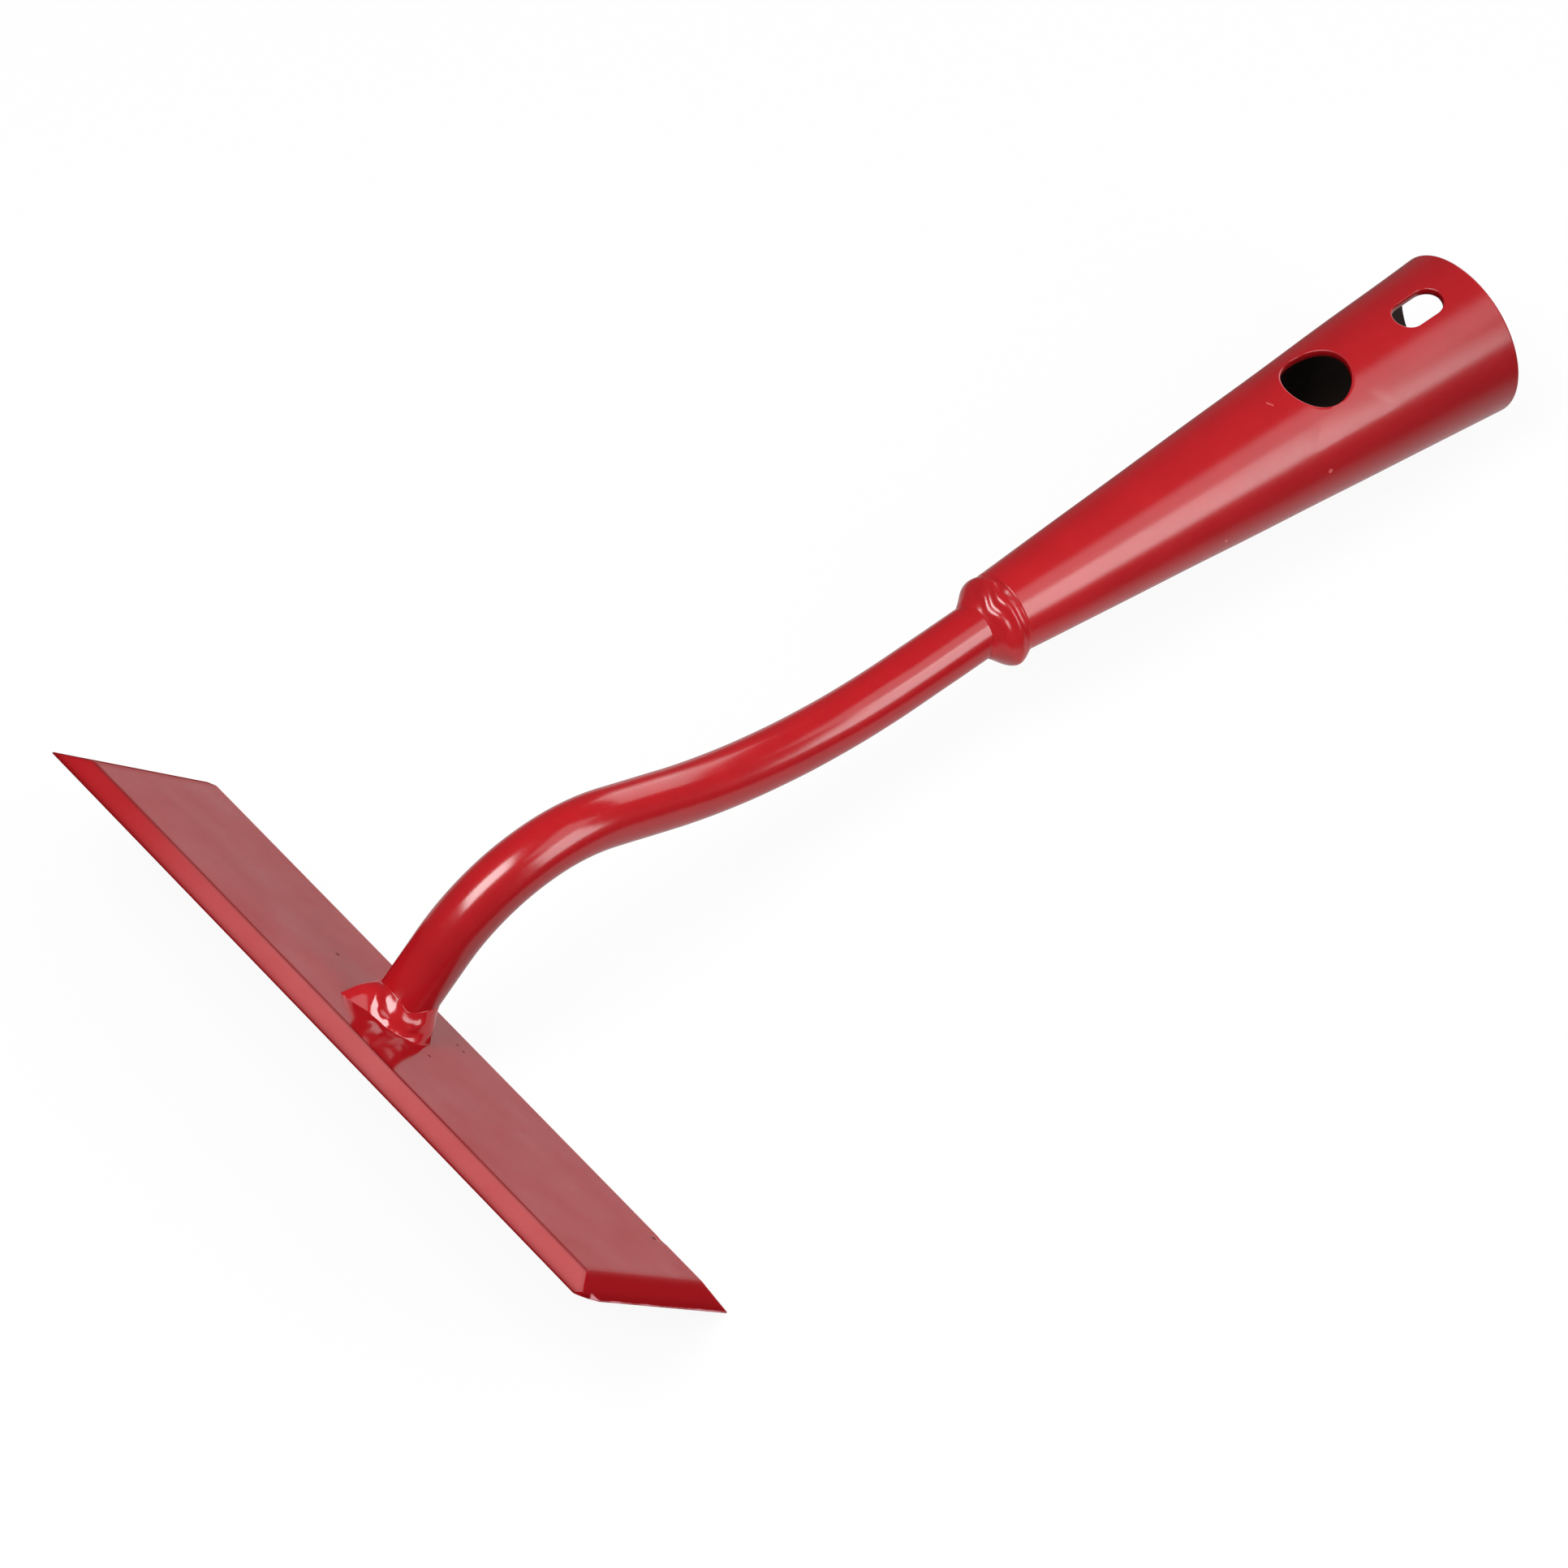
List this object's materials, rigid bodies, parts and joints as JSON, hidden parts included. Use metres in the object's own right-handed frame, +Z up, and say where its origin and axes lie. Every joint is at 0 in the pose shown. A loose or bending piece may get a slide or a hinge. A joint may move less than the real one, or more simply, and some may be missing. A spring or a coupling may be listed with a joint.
{
  "type": "dutch hoe head",
  "caption": "Steel hoe head: flat blade bevelled along its edges, swan neck of round bar and a tapered rolled socket for a wooden handle, welded together and painted red.",
  "frame": {"origin": "on the table, below the middle of the head's box, with the head lying on the blade's back edge and on the lowest point of the socket's mouth", "axes": "+X along the blade, +Y towards the socket's mouth, +Z up from the table"},
  "size_m": [0.165, 0.3024, 0.05],
  "materials": {
    "blade_paint": "gloss red paint, flat and lightly specked",
    "bar_paint": "gloss red paint over round bar",
    "socket_paint": "satin gloss red paint over rolled sheet",
    "weld_paint": "gloss red paint over lumpy weld metal"
  },
  "bodies": {
    "root": {"blade": "blade_paint", "neck": "bar_paint", "socket": "socket_paint", "blade_weld": "weld_paint", "socket_weld": "weld_paint"}
  },
  "joints": []
}
